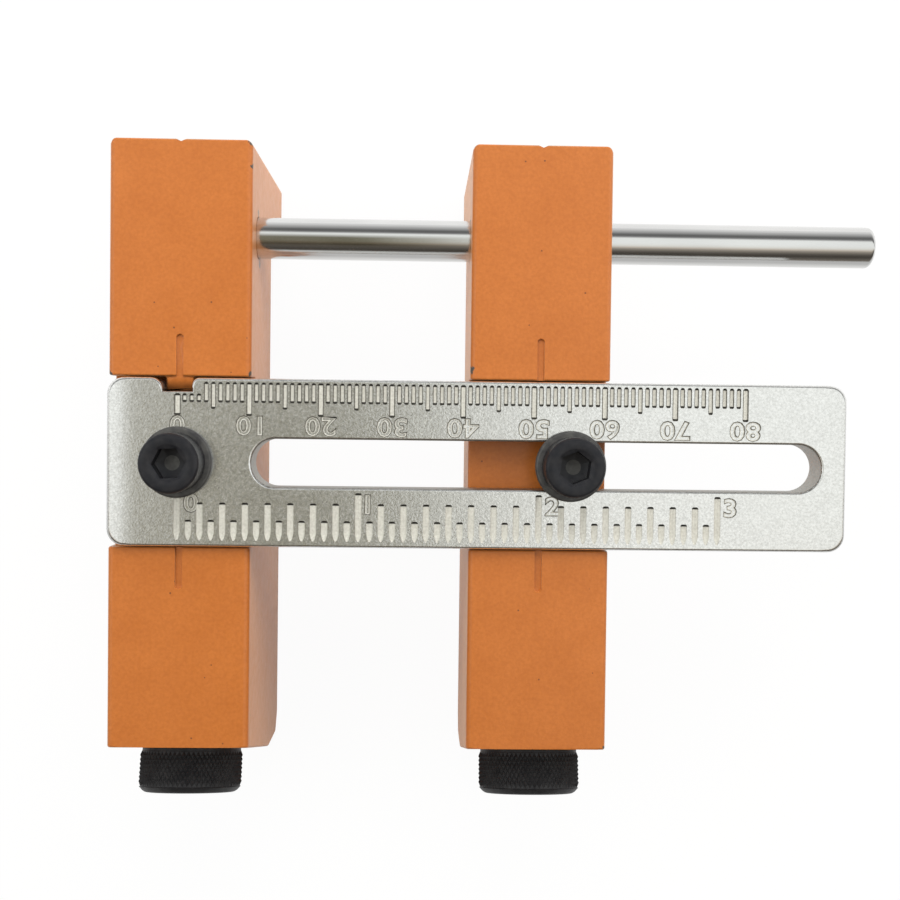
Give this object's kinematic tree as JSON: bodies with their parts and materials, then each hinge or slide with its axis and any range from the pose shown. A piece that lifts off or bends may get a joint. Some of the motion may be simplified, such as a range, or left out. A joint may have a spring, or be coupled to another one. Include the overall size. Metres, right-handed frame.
{
  "type": "pocket hole jig",
  "caption": "Pocket hole jig: two cast blocks with slanted drill sleeves slide apart on a guide rod and lock along a slotted scale plate.",
  "frame": {"origin": "on the lower rest face of the left block, at the block's middle, level with the back of the jig", "axes": "+X along the guide rod towards its free end, +Y up the blocks away from the drill sleeves, +Z from the rear rest faces to the front scale plate"},
  "size_m": [0.1105, 0.097, 0.0419],
  "materials": {
    "block_paint": "fine textured orange enamel on a casting",
    "plate_nickel": "satin nickel with engraved marks",
    "rod_steel": "ground and polished",
    "screw_black": "black oxide",
    "washer_black": "black oxide, worn brighter",
    "sleeve_black": "blued, diamond knurl on the head"
  },
  "bodies": {
    "fixed_jig": {"left_block": "block_paint", "scale_plate": "plate_nickel", "guide_rod": "rod_steel"},
    "sliding_block": {"right_block": "block_paint"},
    "left_clamp": {"left_screw": "screw_black", "left_washer": "washer_black"},
    "right_clamp": {"right_screw": "screw_black", "right_washer": "washer_black"},
    "left_guide": {"left_sleeve": "sleeve_black"},
    "right_guide": {"right_sleeve": "sleeve_black"}
  },
  "joints": [
    {"name": "block_slide", "type": "slide", "parent": "fixed_jig", "child": "sliding_block", "axis": [1, 0, 0], "range_m": [-0.0308, 0.0331]},
    {"name": "left_screw_turn", "type": "hinge", "parent": "fixed_jig", "child": "left_clamp", "pos_m": [0, 0.025, 0.0359], "axis": [0, 0, 1], "range_deg": [0, 360]},
    {"name": "right_screw_turn", "type": "hinge", "parent": "sliding_block", "child": "right_clamp", "pos_m": [0.0552, 0.025, 0.0359], "axis": [0, 0, 1], "range_deg": [0, 360]},
    {"name": "left_sleeve_turn", "type": "hinge", "parent": "fixed_jig", "child": "left_guide", "pos_m": [0, -0.0186, 0.0233], "axis": [0, -0.9659, 0.2588], "continuous": true},
    {"name": "right_sleeve_turn", "type": "hinge", "parent": "sliding_block", "child": "right_guide", "pos_m": [0.051, -0.0186, 0.0233], "axis": [0, -0.9659, 0.2588], "continuous": true}
  ]
}
